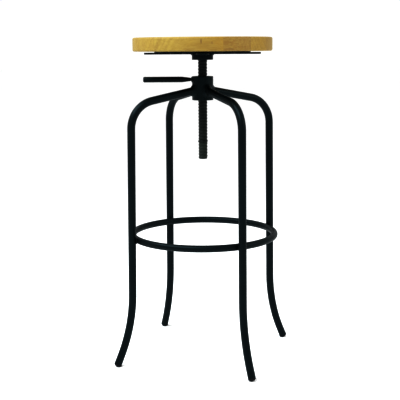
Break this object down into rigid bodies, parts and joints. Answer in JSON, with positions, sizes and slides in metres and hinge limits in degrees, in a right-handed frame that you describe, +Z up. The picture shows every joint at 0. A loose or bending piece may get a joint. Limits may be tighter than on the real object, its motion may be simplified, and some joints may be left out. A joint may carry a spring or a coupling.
{
  "type": "adjustable swivel stool",
  "caption": "Tall backless stool: a round wooden seat on a screw spindle raises, lowers and swivels in a four-legged bent-tube frame with a ring footrest and a clamp lever.",
  "frame": {"origin": "on the floor, under the spindle's axis", "axes": "+Z up the spindle's axis to the seat; the four legs stand on the diagonals of X and Y, and the clamp lever points towards -X, 17.35 degrees round towards -Y"},
  "size_m": [0.3614, 0.3614, 0.774],
  "materials": {
    "frame_steel": "satin black powder coat",
    "lever_steel": "satin black powder coat, a little smoother from handling",
    "spindle_steel": "blackened steel, lightly oiled, with brighter thread crests",
    "nut_steel": "turned steel",
    "screw_steel": "black phosphate",
    "glide_plastic": "moulded black polyethylene",
    "pad_nylon": "natural nylon",
    "seat_wood": "edge-glued honey-coloured hardwood staves under satin clear lacquer"
  },
  "bodies": {
    "frame": {"leg_front_left": "frame_steel", "leg_front_right": "frame_steel", "leg_back_right": "frame_steel", "leg_back_left": "frame_steel", "glide_front_left": "glide_plastic", "glide_front_right": "glide_plastic", "glide_back_right": "glide_plastic", "glide_back_left": "glide_plastic", "footrest_ring": "frame_steel", "hub_sleeve": "frame_steel", "spindle_nut": "nut_steel", "lock_boss": "frame_steel"},
    "lock_pad": {"lock_pad": "pad_nylon"},
    "lock_lever": {"lock_lever": "lever_steel"},
    "stop_washer": {"stop_washer": "spindle_steel"},
    "seat": {"spindle": "spindle_steel", "retaining_ring": "spindle_steel", "seat_collar": "frame_steel", "cross_bar": "frame_steel", "side_bar_left": "frame_steel", "side_bar_right": "frame_steel", "seat_plate": "frame_steel", "seat": "seat_wood", "seat_screw_1": "screw_steel", "seat_screw_2": "screw_steel", "seat_screw_3": "screw_steel", "seat_screw_4": "screw_steel", "seat_screw_5": "screw_steel", "seat_screw_6": "screw_steel", "seat_screw_7": "screw_steel", "seat_screw_8": "screw_steel"}
  },
  "joints": [
    {"name": "seat_lift", "type": "slide", "parent": "frame", "child": "stop_washer", "axis": [0, 0, 1], "range_m": [-0.0376, 0.0976]},
    {"name": "seat_turn", "type": "hinge", "parent": "stop_washer", "child": "seat", "pos_m": [0, 0, 0.655], "axis": [0, 0, 1], "range_deg": [-1800, 4680]},
    {"name": "lock_pad_slide", "type": "slide", "parent": "frame", "child": "lock_pad", "axis": [-0.9545, -0.2982, 0], "range_m": [0, 0.0025]},
    {"name": "lock_lever_turn", "type": "hinge", "parent": "lock_pad", "child": "lock_lever", "pos_m": [-0.09545, -0.02982, 0.6758], "axis": [-0.9545, -0.2982, 0], "range_deg": [-0.5, 720.5]}
  ],
  "couplings": [
    {"joint": "seat_lift", "follows": "seat_turn", "m_per_rad": 0.0011937},
    {"joint": "lock_lever_turn", "follows": "lock_pad_slide", "rad_per_m": 5026.5}
  ]
}
